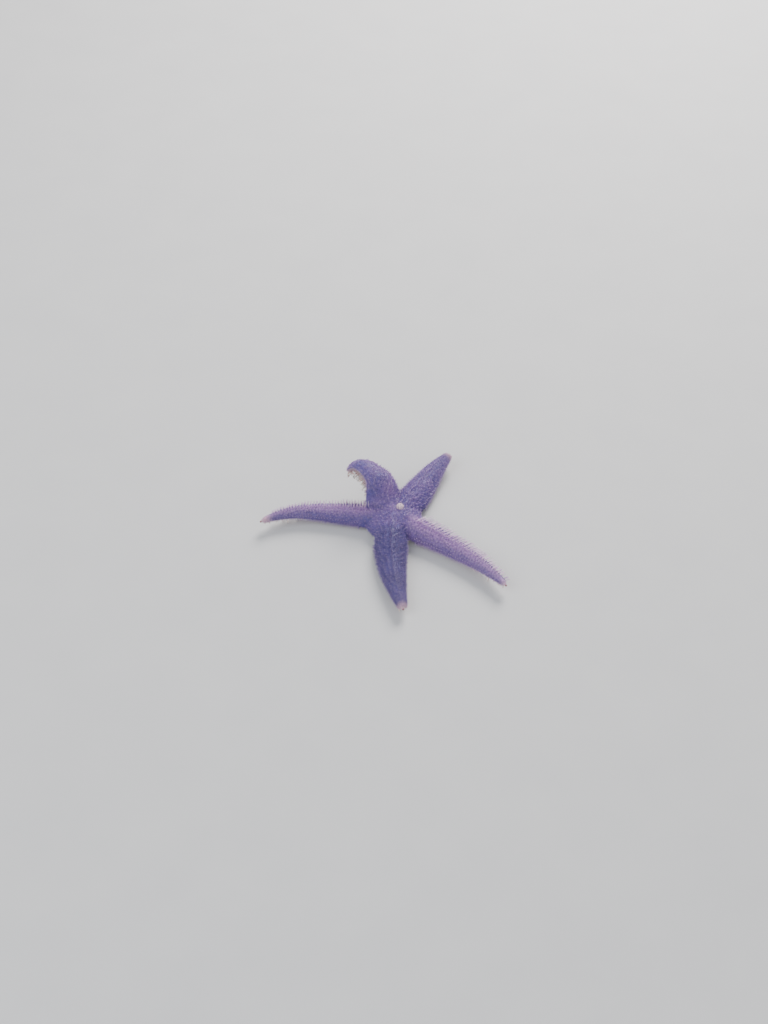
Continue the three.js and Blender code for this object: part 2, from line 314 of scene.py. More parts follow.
def marksAt(points, normals, number=None):
    placed = [onArm(arm, points, normals) for arm in arms]
    owner = np.argmin([where[2] for where in placed], axis=0)
    owner = owner if number is None else np.full(len(points), number)
    u, angle = (np.choose(owner, [where[k] for where in placed]) for k in (0, 1))
    keys = ("length", "bloom", "flush", "paleFrom")
    length, bloom, flush, paleFrom = (np.array([getattr(arm, key) for arm in arms])[owner] for key in keys)
    out = ease(u * length, *marks["discReach"])
    litCrest = np.exp(-(((np.degrees(angle) - 90) / marks["litCrestWidth"]) ** 2))
    fringed = np.array([arm.fringe for arm in arms])[owner] * np.cos(angle)
    flush = flush - fringe["paintedShade"] * ease(fringed, *marks["shadeUnderThreads"])  # painted shade: the skin is darker under the threads
    # on the arms this share is painted light and shade, high on lit ridges and arms and low on shaded ones;
    # on the disc it is the disc's tint
    blush = (flush + (bloom - flush) * litCrest) * out + marks["discBlush"] * (1 - out)
    share = (np.degrees(angle) + 90) / 360
    across = (owner + (1 - marks["island"]) / 2 + marks["island"] * share) / len(arms)
    unwrap = np.stack([across, 0.02 + 0.96 * u, 0 * u], -1)
    under = ease(-np.sin(angle), *marks["underFrom"])
    tip = ease(u, paleFrom, paleFrom + marks["palesOver"])
    return dict(blush=blush, tip=tip, under=under, unwrap=unwrap, owner=owner, u=u)


skinPoints = vectorArray(skinPiece.data.vertices, "co")
skinNormals = vectorArray(skinPiece.data.vertex_normals, "vector")
skinFaces = [tuple(face.vertices) for face in skinPiece.data.polygons]
skinTree = BVHTree.FromPolygons([tuple(point) for point in skinPoints], skinFaces)


def rooted(targets, reach=1.5):  # the nearest places on the skin, their normals and which were found
    found = [skinTree.find_nearest(Vector(target), reach) for target in targets]
    kept = np.array([point is not None for point, _, _, _ in found])
    points = np.array([point[:] for point, _, _, _ in found if point is not None]).reshape(-1, 3)
    normals = np.array([normal[:] for point, normal, _, _ in found if point is not None]).reshape(-1, 3)
    return points, normals, kept


def plant(points, ways, tall, thick, drift=None, bow=None):  # what each growth needs to know of its root
    count = len(points)
    found = marksAt(points, ways)
    blank = np.zeros((count, 3))
    return dict(
        point=points, way=unit(ways), tall=np.broadcast_to(tall, count), thick=np.broadcast_to(thick, count),
        drift=blank if drift is None else drift, bow=blank if bow is None else bow, tone=dice.random(count),
        **found,
    )


def gathered(plots):
    return {key: np.concatenate([plot[key] for plot in plots]) for key in plots[0]}


def ownOnly(plot, arm):  # leaves out the growths that came to stand on a neighbour
    return {key: values[plot["owner"] == arm.number] for key, values in plot.items()}


def twoRows(side, **sizes):  # the same row at both sides of an arm
    return dict(side=side, **sizes), dict(side=180 - side, **sizes)


# spines stand in rows along the arms, one to a plate; only the middle row keeps its line well
backRows = dict(
    pitch=0.78, wander=0.14, stray=0.15, straight=0.4, end=0.975, lean=0.22, scatter=0.12,
    sunk=0.08, floor=0.12,  # how deep the roots go, and how near the floor the ends may come
    rows=(
        dict(side=90, every=1.0, tall=0.98, thick=0.17, start=3.2),
        *twoRows(71, every=1.15, tall=0.7, thick=0.14, start=5.0),
        *twoRows(54, every=1.1, tall=0.78, thick=0.15, start=5.6),
        *twoRows(38, every=1.15, tall=0.68, thick=0.14, start=7.4),
    ),
)
edgeRows = dict(
    pitch=0.78, wander=0.08, stray=0.05, straight=1, end=0.98, lean=0.15, scatter=0.1,
    sunk=0.08, floor=0.12,
    rows=(
        *twoRows(22, every=1.0, tall=1.02, thick=0.17, start=8.6),
        *twoRows(6, every=1.0, tall=0.9, thick=0.16, start=9.2),
        *twoRows(-9, every=0.6, tall=1.0, thick=0.16, start=9.0),
    ),
)
soleRows = dict(
    outs=(0.41, 0.53), pitch=0.46, wander=0.1, tall=0.72, thick=0.13, start=3.6, end=0.95,
    sunk=0.05, floor=0.1, reach=0.7,
    splay=(0.35, -0.175), outermost=0.5,  # rows beyond this share of the half width lean out, the others in
)
fringe = dict(  # threads at the edge of an arm, in rows that follow on so that they read as long strokes
    sides=(12, 32, 52, 70, 86), pitch=1.02, wander=0.14, tall=2.7, thick=0.17, start=7.0, end=0.9,
    sunk=0.08, floor=0.2, outward=0.7, scatter=0.05, bow=0.07, sag=0.15, slant=0.028, paleFrom=(20, 60),
    clear=10,  # spines stop this many degrees before the ridge
    paintedShade=0.3,  # how much painted shade darkens the skin under them
)
rootReach = 0.8  # how far from its plan a root may stand


def taller(u):
    return 1 - 0.5 * u ** 3


def aboveFloor(points, ways, tall, floor):  # turns growths up that would reach below the floor
    short = np.minimum(0, points[:, 2] + ways[:, 2] * tall - floor)
    ways = ways.copy()
    ways[:, 2] -= short / tall
    return unit(ways)


def setIn(points, normals, way, tall, thick, plan):  # growths with their roots sunk in the skin
    way = aboveFloor(points, unit(way), tall, plan["floor"])
    return plant(points - plan["sunk"] * normals, way, tall + plan["sunk"], thick)


def alongArm(arm, start, end, pitch, wander):
    u = np.arange(start / arm.length, end, pitch / arm.length)
    return u + dice.uniform(-wander, wander, len(u)) * pitch / arm.length


def armRows(plan):
    plots = []
    for arm in arms:
        for row in plan["rows"]:
            if arm.fringe * (90 - row["side"]) > fringe["clear"] * abs(arm.fringe):
                continue
            stray = plan["stray"] * (plan["straight"] if row["side"] == 90 else 1)
            u = alongArm(arm, row["start"], plan["end"], plan["pitch"] * row["every"], plan["wander"])
            angle = np.radians(row["side"]) + dice.uniform(-stray, stray, len(u))
            points, normals, kept = rooted(arm.skinPoint(u, angle, skin["coat"]), rootReach)
            u, angle = u[kept], angle[kept]
            way = arm.outward(u, angle, plan["lean"]) + 0.5 * normals
            way = way + dice.normal(0, plan["scatter"], points.shape)
            tall = row["tall"] * taller(u) * dice.uniform(0.88, 1.12, len(u))
            plots.append(ownOnly(setIn(points, normals, way, tall, row["thick"] * taller(u), plan), arm))
    return gathered(plots)


def soleSpines():
    plots = []
    for arm in arms:
        for out in soleRows["outs"]:
            for side in (-1, 1):
                u = alongArm(arm, soleRows["start"], soleRows["end"], soleRows["pitch"], soleRows["wander"])
                half = arm.half(u) - skin["coat"]
                targets = arm.point(u, side * out * half, underSole(half))
                points, normals, kept = rooted(targets, soleRows["reach"])
                u = u[kept]
                splay = soleRows["splay"][0 if out > soleRows["outermost"] else 1]
                way = -arm.at(u, arm.up) + arm.at(u, arm.left) * side * splay
                tall, thick = soleRows["tall"] * taller(u), soleRows["thick"] * taller(u)
                plots.append(ownOnly(setIn(points, normals, way, tall, thick, soleRows), arm))
    return gathered(plots)


def fringeThreads():
    plots = []
    for arm in (arm for arm in arms if arm.fringe):
        strength = 0.4 + 0.6 * abs(arm.fringe)
        evenly = alongArm(arm, fringe["start"], fringe["end"], fringe["pitch"] * strength, fringe["wander"])
        for side in fringe["sides"]:
            u = evenly + (fringe["sides"][-1] - side) * fringe["slant"] * arm.comb[0] / arm.length
            u = u + dice.normal(0, 0.04, len(u)) / arm.length
            angle = np.radians(side if arm.fringe > 0 else 180 - side) + dice.uniform(-0.08, 0.08, len(u))
            points, normals, kept = rooted(arm.skinPoint(u, angle, skin["coat"]), rootReach)
            u, angle = u[kept], angle[kept]
            way = fringe["outward"] * arm.outward(u, angle) + np.array(arm.comb)
            way = way + dice.normal(0, fringe["scatter"], points.shape)
            tall = fringe["tall"] * abs(arm.fringe) * (1 - 0.45 * u ** 2) * dice.uniform(0.7, 1.15, len(u))
            bow = dice.normal(0, fringe["bow"], points.shape) + (0, 0, fringe["sag"])
            way = aboveFloor(points, unit(way), tall, fringe["floor"])
            thick = fringe["thick"] * strength * (1 - 0.3 * u)
            plot = plant(points - fringe["sunk"] * normals, way, tall, thick, bow=bow)
            plot["tone"] = np.full(len(u), ease(side, *fringe["paleFrom"])) + dice.normal(0, 0.1, len(u))
            plots.append(plot)
    return gathered(plots)


discSpines = dict(
    radius=8.2, gap=0.86, tall=0.72, thick=0.15, splay=0.25, scatter=0.1, sunk=0.08, floor=0.12, tries=2600,
    clear=1.5,  # none stands nearer the madreporite
    above=14, steepest=0.25, overTop=0.6,  # the reared arm and steep sides have none
)
sieve = dict(
    heading=40, out=2.1, radius=1.0, proud=0.7, skirt=0.6, rings=34, sectors=132, grooves=17, depth=0.07,
    dimple=0.2, dimpleWidth=0.13,
)


def discHeight(out):
    share = np.sqrt(np.maximum(1 - (out / body["discRadius"]) ** 2, 0))
    return (body["discTop"] - body["soleHeight"]) * share


def onDisc(heading, out):
    away = np.array([math.cos(heading), math.sin(heading), 0])
    rise = body["discTop"] - body["soleHeight"]
    lean = out * rise ** 2 / body["discRadius"] ** 2 / discHeight(out)
    point = overMouth(body["soleHeight"] + discHeight(out)) + away * out
    return point, unit(away * lean + np.array([0, 0, 1.0]))


def discRoots(taken):
    sievePoint, _ = onDisc(math.radians(sieve["heading"]), sieve["out"])
    kept, crowd = [], [Vector(point) for point in taken]
    for _ in range(discSpines["tries"]):
        out, turn = discSpines["radius"] * math.sqrt(dice.random()), dice.uniform(0, 2 * math.pi)
        x, y = body["mouth"][0] + out * math.cos(turn), body["mouth"][1] + out * math.sin(turn)
        point, normal, _, _ = skinTree.ray_cast(Vector((x, y, discSpines["above"])), Vector((0, 0, -1)))
        if point is None or normal.z < discSpines["steepest"]:
            continue
        if point.z > body["discTop"] + discSpines["overTop"]:
            continue
        if (point - Vector(sievePoint)).length < discSpines["clear"]:
            continue
        if min((point - other).length for other in crowd) > discSpines["gap"]:
            crowd.append(point)
            kept.append((point[:], normal[:]))
    points, normals = (np.array([pair[k] for pair in kept]) for k in (0, 1))
    away = points - overMouth(0)
    away[:, 2] = 0
    way = normals + discSpines["splay"] * unit(away) + dice.normal(0, discSpines["scatter"], points.shape)
    tall = discSpines["tall"] * dice.uniform(0.85, 1.15, len(points))
    return setIn(points, normals, way, tall, discSpines["thick"], discSpines)


backPlot = armRows(backRows)
backPlot = gathered([backPlot, discRoots(backPlot["point"])])
edgePlot = armRows(edgeRows)
print("spines", len(backPlot["point"]), "on the back and", len(edgePlot["point"]), "at the edges", flush=True)


def sumOf(operation, reflected=False):
    def reckoned(self, other):
        first, second = (other, self) if reflected else (self, other)
        return self.board.node("ShaderNodeMath", {"operation": operation}, {0: first, 1: second})
    return reckoned


class Wire:  # a node's socket, so that node sums read as sums
    def __init__(self, board, socket):
        self.board, self.socket = board, socket

    def at(self, name):
        return Wire(self.board, self.socket.node.outputs[name])

    __add__, __radd__ = sumOf("ADD"), sumOf("ADD", reflected=True)
    __sub__, __rsub__ = sumOf("SUBTRACT"), sumOf("SUBTRACT", reflected=True)
    __mul__, __rmul__ = sumOf("MULTIPLY"), sumOf("MULTIPLY", reflected=True)
    __pow__ = sumOf("POWER")


class Board:  # a node tree, and the one way that nodes are added to it
    def __init__(self, tree):
        self.tree = tree

    def node(self, kind, settings=None, values=None, out=0):
        made = self.tree.nodes.new(kind)
        for key, value in (settings or {}).items():
            if key == "stops":
                stops = self.atLeast(len(value), made.color_ramp.elements, 0.5)
                for stop, (place, colour) in zip(stops, value):
                    stop.position, stop.color = place, colour
            elif key == "curve":
                points = self.atLeast(len(value), made.mapping.curves[0].points, 0.5, 0.5)
                for point, place in zip(points, value):
                    point.location = place
                made.mapping.update()
            else:
                setattr(made, key, value)
        for key, value in (values or {}).items():
            if isinstance(value, Wire):
                self.tree.links.new(value.socket, made.inputs[key])
            else:
                made.inputs[key].default_value = value
        return Wire(self, made.outputs[out]) if len(made.outputs) else made

    def atLeast(self, count, points, *place):
        while len(points) < count:
            points.new(*place)
        return points

    def shape(self, kind, geometry, **values):
        return self.node("GeometryNode" + kind, None, {"Geometry": geometry, **values})

    def attribute(self, name):
        return self.node("ShaderNodeAttribute", {"attribute_name": name}, None, "Fac")

    def named(self, name, kind="FLOAT"):
        return self.node("GeometryNodeInputNamedAttribute", {"data_type": kind}, {"Name": name})

    def way(self, name):
        return self.named(name, "FLOAT_VECTOR")

    def store(self, geometry, name, value, kind="FLOAT", domain="POINT"):
        settings = {"data_type": kind, "domain": domain}
        values = {"Geometry": geometry, "Name": name, "Value": value}
        return self.node("GeometryNodeStoreNamedAttribute", settings, values)

    def mix(self, share, first, second, blend="MIX"):
        settings = {"data_type": "RGBA", "blend_type": blend, "clamp_factor": True}
        return self.node("ShaderNodeMix", settings, {0: share, 6: first, 7: second}, 2)

    def vector(self, operation, first, second):
        key = 3 if operation == "SCALE" else 1
        return self.node("ShaderNodeVectorMath", {"operation": operation}, {0: first, key: second})

    def band(self, value, low, high):  # 0 below low, 1 above high, eased between
        settings = {"interpolation_type": "SMOOTHSTEP", "clamp": True}
        return self.node("ShaderNodeMapRange", settings, {0: value, 1: low, 2: high})

    def noise(self, scale, detail=2.0, out="Fac"):
        place = self.node("ShaderNodeTexCoord", None, None, "Object")
        return self.node("ShaderNodeTexNoise", None, {"Vector": place, "Scale": scale, "Detail": detail}, out)

    def bump(self, strength, distance, height):
        values = {"Strength": strength, "Distance": distance, "Height": height}
        return self.node("ShaderNodeBump", None, values)


bakePatch = 0.003  # how much of the bake map each growth takes


def growthTree(name, profile, strewn=False):  # a rod of the profile stands on each root
    tree = bpy.data.node_groups.new(name, "GeometryNodeTree")
    wanted = dict(Geometry="Geometry", Sides="Int", Rings="Int", Crowding="Float", Finish="Material")
    if strewn:
        wanted.update(Spacing="Float", Density="Float", Length="Float", Width="Float")
        wanted.update(Scatter="Float", Curl="Float", Seed="Int")
    for label, kind in wanted.items():
        tree.interface.new_socket(label, in_out="INPUT", socket_type="NodeSocket" + kind)
    tree.interface.new_socket("Geometry", in_out="OUTPUT", socket_type="NodeSocketGeometry")
    board = Board(tree)
    given = board.node("NodeGroupInput")

    sizes = {"Vertices": given.at("Sides"), "Side Segments": given.at("Rings"), "Radius": 1.0, "Depth": 1.0}
    cylinder = board.node("GeometryNodeMeshCylinder", {"fill_type": "NGON"}, sizes, "Mesh")
    spot = board.node("ShaderNodeSeparateXYZ", None, {0: board.node("GeometryNodeInputPosition")})
    height = 1.0 - (0.5 - spot.at("Z")) ** given.at("Crowding")
    width = board.node("ShaderNodeFloatCurve", {"curve": profile}, {"Value": height})
    shaped = board.node("ShaderNodeCombineXYZ", None, {0: spot * width, 1: spot.at("Y") * width, 2: height})
    rod = board.store(cylinder, "height", height)
    rod = board.store(rod, "patch", cylinder.at("UV Map"), "FLOAT_VECTOR", "CORNER")
    rod = board.shape("SetPosition", rod, Position=shaped)

    roots = given.at("Geometry")
    if strewn:
        spread = {"Mesh": roots, "Distance Min": given.at("Spacing"), "Density Max": given.at("Density"),
                  "Density Factor": board.named("thicket"), "Seed": given.at("Seed")}
        settings = {"distribute_method": "POISSON"}
        roots = board.node("GeometryNodeDistributePointsOnFaces", settings, spread, "Points")
        normal = roots.at("Normal")

        def chance(low, high, kind="FLOAT", seed=1):
            first = 0 if kind == "FLOAT_VECTOR" else 2
            values = {first: low, first + 1: high, "Seed": seed}
            return board.node("FunctionNodeRandomValue", {"data_type": kind}, values, 0 if first == 0 else 1)

        aside = board.vector("SCALE", chance((-1, -1, -1), (1, 1, 1), "FLOAT_VECTOR", 3), given.at("Scatter"))
        curl = board.vector("SCALE", chance((-1, -1, -1), (1, 1, 1), "FLOAT_VECTOR", 5), given.at("Curl"))
        size = chance(0.62, 1.25, "FLOAT", 7) * board.named("vigour")
        roots = board.store(roots, "way", board.vector("ADD", normal, aside), "FLOAT_VECTOR")
        roots = board.store(roots, "bow", curl, "FLOAT_VECTOR")
        roots = board.store(roots, "tall", size * given.at("Length"))
        roots = board.store(roots, "thick", (0.4 + 0.6 * size) * given.at("Width"))
        roots = board.store(roots, "tone", chance(0.0, 1.0, "FLOAT", 9))

    turn = board.node("FunctionNodeAlignRotationToVector", {"axis": "Z"}, {"Vector": board.way("way")})
    sizes = {0: board.named("thick"), 1: board.named("thick"), 2: board.named("tall")}
    scale = board.node("ShaderNodeCombineXYZ", None, sizes)
    each = {"Points": roots, "Instance": rod, "Rotation": turn, "Scale": scale}
    stood = board.node("GeometryNodeInstanceOnPoints", None, each)
    grown = board.shape("RealizeInstances", stood)
    rise = board.named("height")
    moved = board.vector("SCALE", board.way("bow"), 4.0 * rise * (1.0 - rise))
    if not strewn:
        moved = board.vector("ADD", moved, board.vector("SCALE", board.way("drift"), rise))
    grown = board.shape("SetPosition", grown, Offset=moved)
    small = board.vector("SCALE", board.way("patch"), bakePatch)
    grown = board.store(grown, "OFBake", board.vector("ADD", board.way("unwrap"), small), "FLOAT2", "CORNER")
    for spare in ("way", "tall", "thick", "bow", "drift", "unwrap", "patch", "thicket", "vigour"):
        grown = board.shape("RemoveAttribute", grown, Name=spare)
    grown = board.shape("SetMaterial", board.shape("SetShadeSmooth", grown), Material=given.at("Finish"))
    board.node("NodeGroupOutput", None, {"Geometry": grown})
    return tree


def grow(source, tree, sizes, finish):
    modifier = source.modifiers.new("Grow", "NODES")
    modifier.node_group = tree
    sockets = {item.name: item.identifier for item in tree.interface.items_tree if item.in_out == "INPUT"}
    for label, value in {**sizes, "Finish": finish}.items():
        modifier[sockets[label]] = value
    applied(source)
    print(source.name, len(source.data.loop_triangles) or len(source.data.polygons), "faces", flush=True)
    return source


def rootMesh(name, plot):
    thing = meshObject(name, plot["point"], [])
    for key in ("way", "drift", "bow", "unwrap"):
        keepAttribute(thing.data, key, plot[key], "FLOAT_VECTOR")
    for key in ("tall", "thick", "blush", "tip", "under", "tone"):
        keepAttribute(thing.data, key, np.asarray(plot[key]))
    return thing


# finishes: colours are linear, and noise is per metre
livery = dict(
    # the darkest stop is painted shade for the shaded arm and flanks, and the ridge stop is painted light for
    # the lit ridges
    paintedShade=(0.07, 0.065, 0.20, 1), flank=(0.135, 0.105, 0.36, 1), ridge=(0.50, 0.27, 0.62, 1),
    belly=(0.62, 0.47, 0.52, 1), tip=(0.88, 0.58, 0.63, 1), deep=(0.045, 0.035, 0.15, 1),
    cloud=230, cloudy=0.55, fleck=1300,
)


def liveryColour(board):  # the same markings for skin and coat, painted light and shade on the arms among them
    cloud, fleck = board.noise(livery["cloud"], 3.0), board.noise(livery["fleck"])
    # the ramp runs from painted shade through the flank colour to the lit ridge's painted light
    share = board.attribute("blush") + (cloud - 0.5) * livery["cloudy"]
    stops = [(0, livery["paintedShade"]), (0.4, livery["flank"]), (1, livery["ridge"])]
    colour = board.node("ShaderNodeValToRGB", {"stops": stops}, {"Fac": share})
    colour = board.mix(board.band(fleck, 0.5, 0.72) * 0.4, colour, livery["deep"])
    colour = board.mix(board.attribute("tip") * 0.85, colour, livery["tip"])
    return board.mix(board.attribute("under") * 0.85, colour, livery["belly"])


def finishOf(name, paint):  # paint(board) gives the values of the shader's sockets
    material = bpy.data.materials.new(name)
    material.use_nodes = True
    material.node_tree.nodes.clear()
    board = Board(material.node_tree)
    shader = board.node("ShaderNodeBsdfPrincipled", None, paint(board))
    board.node("ShaderNodeOutputMaterial", None, {"Surface": shader})
    return material


def depth(weight, radius, scale):  # light that sinks in a little way
    return {"Subsurface Weight": weight, "Subsurface Radius": radius, "Subsurface Scale": scale}


def skinPaint(board):
    colour = liveryColour(board)
    place = board.node("ShaderNodeTexCoord", None, None, "Object")
    wobble = board.vector("SCALE", board.noise(1500.0, out="Color"), 0.00025)
    values = {"Vector": board.vector("ADD", place, wobble), "Scale": 1500.0}
    cells = board.node("ShaderNodeTexVoronoi", {"feature": "DISTANCE_TO_EDGE"}, values, "Distance")
    seams = 1.0 - board.band(cells, 0.02, 0.16)
    pores = board.node("ShaderNodeTexVoronoi", None, {**values, "Scale": 4200.0}, "Distance")
    # the seams between the skin's cells, sunk by the bump, are painted darker: painted shade in the creases
    colour = board.mix(seams * 0.35, colour, livery["deep"])
    # the pits between the spines are painted dark: painted shade in the hollows
    colour = board.mix(board.attribute("pit") * 0.85, colour, livery["deep"])
    colour = board.mix(board.attribute("mound") * 0.3, colour, (0.62, 0.45, 0.66, 1))
    grain = board.noise(6000.0, 3.0)
    lift = board.bump(0.6, 0.0001, grain * 0.5 + board.band(pores, 0.0, 0.5) * 0.7 - seams * 0.8)
    return {
        "Base Color": colour, "Roughness": 0.5 + 0.25 * grain, "Normal": lift,
        "Coat Weight": 0.1, "Coat Roughness": 0.35, **depth(0.12, (0.6, 0.35, 0.5), 0.0008),
    }


def growthPaint(pale, start, end, most, roughness, softness):
    def paint(board):
        fleck = board.noise(5200.0)
        paintedLight = 0.2 + 0.85 * board.attribute("blush")  # growths on skin painted as shaded stay dark too: painted shade
        share = board.band(board.attribute("height"), start, end) * paintedLight
        share = share * (most + 0.25 * (board.attribute("tone") - 0.5))
        colour = board.mix(share, liveryColour(board), pale)
        colour = board.mix(board.band(fleck, 0.55, 0.8) * 0.22, colour, livery["deep"])
        return {
            "Base Color": colour, "Roughness": roughness + 0.2 * fleck, "Coat Weight": 0.08,
            "Normal": board.bump(0.35, 0.00004, fleck), **depth(softness, (0.7, 0.45, 0.55), 0.0006),
        }
    return paint


def threadPaint(board):  # violet at the root, and pale from there on
    fleck, rise = board.noise(4200.0), board.attribute("height")
    shade = board.mix(board.attribute("tone"), (0.50, 0.28, 0.58, 1), (0.86, 0.64, 0.85, 1))
    colour = board.mix(board.band(rise, 0.0, 0.2) * 0.95, liveryColour(board), shade)
    colour = board.mix(board.band(rise, 0.6, 1.0) * 0.75, colour, (0.94, 0.84, 0.90, 1))
    colour = board.mix(board.band(fleck, 0.5, 0.8) * 0.2, colour, (0.52, 0.34, 0.62, 1))
    return {
        "Base Color": colour, "Roughness": 0.4 + 0.2 * fleck, "Coat Weight": 0.1,
        **depth(0.25, (0.7, 0.45, 0.55), 0.0006),
    }


def footPaint(board):
    fleck, rise = board.noise(2600.0), board.attribute("height")
    colour = board.mix(board.attribute("tone"), (0.70, 0.50, 0.49, 1), (0.85, 0.68, 0.62, 1))
    colour = board.mix(board.band(rise, 0.8, 0.92), colour, (0.95, 0.87, 0.82, 1))
    colour = board.mix(board.band(fleck, 0.5, 0.8) * 0.25, colour, (0.55, 0.32, 0.36, 1))
    rings = board.node("ShaderNodeMath", {"operation": "SINE"}, {0: rise * 60.0})
    return {
        "Base Color": colour, "Roughness": 0.3 + 0.2 * fleck, "Coat Weight": 0.4,
        "Normal": board.bump(0.4, 0.00004, rings + fleck), **depth(0.3, (0.9, 0.5, 0.4), 0.0008),
    }


def sievePaint(board):
    fleck = board.noise(3800.0, 3.0)
    # the furrows and the middle dimple are painted dark: painted shade in the hollows
    colour = board.mix(board.attribute("furrow"), (0.88, 0.70, 0.76, 1), (0.36, 0.20, 0.34, 1))
    colour = board.mix(board.band(fleck, 0.5, 0.75) * 0.3, colour, (0.62, 0.44, 0.58, 1))
    lift = board.bump(0.5, 0.00005, fleck)
    return {"Base Color": colour, "Roughness": 0.5 + 0.25 * fleck, "Normal": lift, "Coat Weight": 0.15}


def eyePaint(board):
    fleck = board.noise(5200.0)
    colour = board.mix(board.attribute("bead"), (0.34, 0.14, 0.18, 1), (0.17, 0.022, 0.03, 1))
    colour = board.mix(board.band(fleck, 0.55, 0.8) * 0.25, colour, (0.42, 0.18, 0.18, 1))
    return {"Base Color": colour, "Roughness": 0.2 + 0.15 * fleck, "Coat Weight": 0.6, "Coat Roughness": 0.1}


def mouthPaint(board):
    fleck = board.noise(2200.0, 3.0)
    colour = board.mix(board.attribute("fold"), (0.42, 0.22, 0.24, 1), (0.76, 0.56, 0.50, 1))
    colour = board.mix(board.band(fleck, 0.5, 0.75) * 0.35, colour, (0.50, 0.30, 0.38, 1))
    return {
        "Base Color": colour, "Roughness": 0.34 + 0.2 * fleck, "Normal": board.bump(0.4, 0.00006, fleck),
        "Coat Weight": 0.4, **depth(0.2, (0.9, 0.5, 0.4), 0.0008),
    }


def floorPaint(board):
    colour = board.mix(board.noise(60.0, 4.0), (0.60, 0.60, 0.61, 1), (0.66, 0.66, 0.66, 1))
    return {"Base Color": colour, "Roughness": 0.85}


finishes = dict(
    skin=finishOf("violetSkin", skinPaint),
    spine=finishOf("paleSpine", growthPaint((0.78, 0.56, 0.80, 1), 0.25, 0.85, 0.85, 0.52, 0.1)),
    papula=finishOf("papulaFilm", growthPaint((0.56, 0.38, 0.72, 1), 0.2, 1.0, 0.6, 0.48, 0.25)),
    thread=finishOf("paleThread", threadPaint),
    bead=finishOf("pincerBead", growthPaint((0.56, 0.42, 0.70, 1), 0.1, 0.8, 0.7, 0.5, 0.1)),
    foot=finishOf("footFlesh", footPaint),
    sieve=finishOf("chalkySieve", sievePaint),
    eye=finishOf("redEyespot", eyePaint),
    mouth=finishOf("mouthMembrane", mouthPaint),
    floor=finishOf("paleFloor", floorPaint),
)


# the skin rises in a low mound under each spine and sinks in pits between them
relief = dict(
    moundWidth=0.3, moundRise=0.13, pitWidth=0.2, pitDepth=0.1,
    pits=((80, 4.0), (100, 4.0), (62, 6.5), (118, 6.5), (46, 6.5), (134, 6.5)),  # each row's side and start
    pitEnd=0.93, pitOffset=-0.41, pitReach=0.6,
)


def closeness(points, centres, width):
    tree = KDTree(len(centres))
    for k, centre in enumerate(centres):
        tree.insert(centre, k)
    tree.balance()
    gaps = np.array([tree.find(point)[2] for point in points])
    return np.exp(-((gaps / width) ** 2))


def pitCentres():
    found = []
    for arm in arms:
        for side, start in relief["pits"]:
            u = np.arange(start / arm.length, relief["pitEnd"], backRows["pitch"] / arm.length)
            u = u + relief["pitOffset"] / arm.length
            targets = arm.skinPoint(u, np.full(len(u), math.radians(side)), skin["coat"])
            points, _, _ = rooted(targets, relief["pitReach"])
            found.append(points)
    return np.vstack(found)


mound = closeness(skinPoints, np.vstack([backPlot["point"], edgePlot["point"]]), relief["moundWidth"])
pit = closeness(skinPoints, pitCentres(), relief["pitWidth"]) * (1 - mound)
skinMarks = marksAt(skinPoints, skinNormals)
pit = pit * (1 - skinMarks["under"]) * (1 - skinMarks["tip"])
lift = relief["moundRise"] * mound - relief["pitDepth"] * pit
moveVertices(skinPiece.data, skinPoints + skinNormals * lift[:, None])
skinMarks.update(mound=mound, pit=pit)
for key in ("blush", "tip", "under", "mound", "pit"):
    keepAttribute(skinPiece.data, key, skinMarks[key])
dressed(skinPiece, finishes["skin"])
print("relief done", flush=True)

kinds = dict(  # each growth's outline from root to end, its mesh sizes and its finish
    spine=dict(outline=[(0, 1), (0.25, 0.8), (0.7, 0.62), (0.93, 0.4), (1, 0.12)], sizes=(7, 4, 1.4)),
    thread=dict(outline=[(0, 1), (0.4, 0.75), (0.85, 0.6), (0.96, 0.42), (1, 0.15)], sizes=(5, 6, 1.2)),
    bead=dict(outline=[(0, 0.5), (0.4, 0.8), (0.75, 1), (0.93, 0.7), (1, 0.2)], sizes=(5, 2, 1.2)),
    foot=dict(
        outline=[(0, 1), (0.35, 0.72), (0.84, 0.6), (0.9, 1.0), (0.97, 1.05), (1, 0.85)], sizes=(9, 10, 1.3),
    ),
    papula=dict(outline=[(0, 1), (0.35, 0.8), (0.75, 0.9), (0.93, 0.6), (1, 0.2)], sizes=(5, 3, 1.5)),
)
trees = {kind: growthTree(kind + "Growth", made["outline"], kind == "papula") for kind, made in kinds.items()}

pieces = []


def finished(thing, slot, *nodes):  # brought to metres, and tied to the frame
    moveVertices(thing.data, vectorArray(thing.data.vertices, "co") * mm)
    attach(thing, "root")
    if nodes:
        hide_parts(*nodes)
    pieces.append(thing)


def growOn(thing, kind, **strewing):
    sizes = dict(zip(("Sides", "Rings", "Crowding"), kinds[kind]["sizes"]), **strewing)
    finished(grow(thing, trees[kind], sizes, finishes[kind]), "arm_skin")


# papulae, the soft skin gills, fill the skin between the spines
papulae = dict(
    strewing=dict(Spacing=0.25, Density=26.0, Length=0.4, Width=0.085, Scatter=0.28, Curl=0.05),
    offMounds=0.6, offPits=0.75, offTip=0.3, shrink=0.45, seed=20,
)


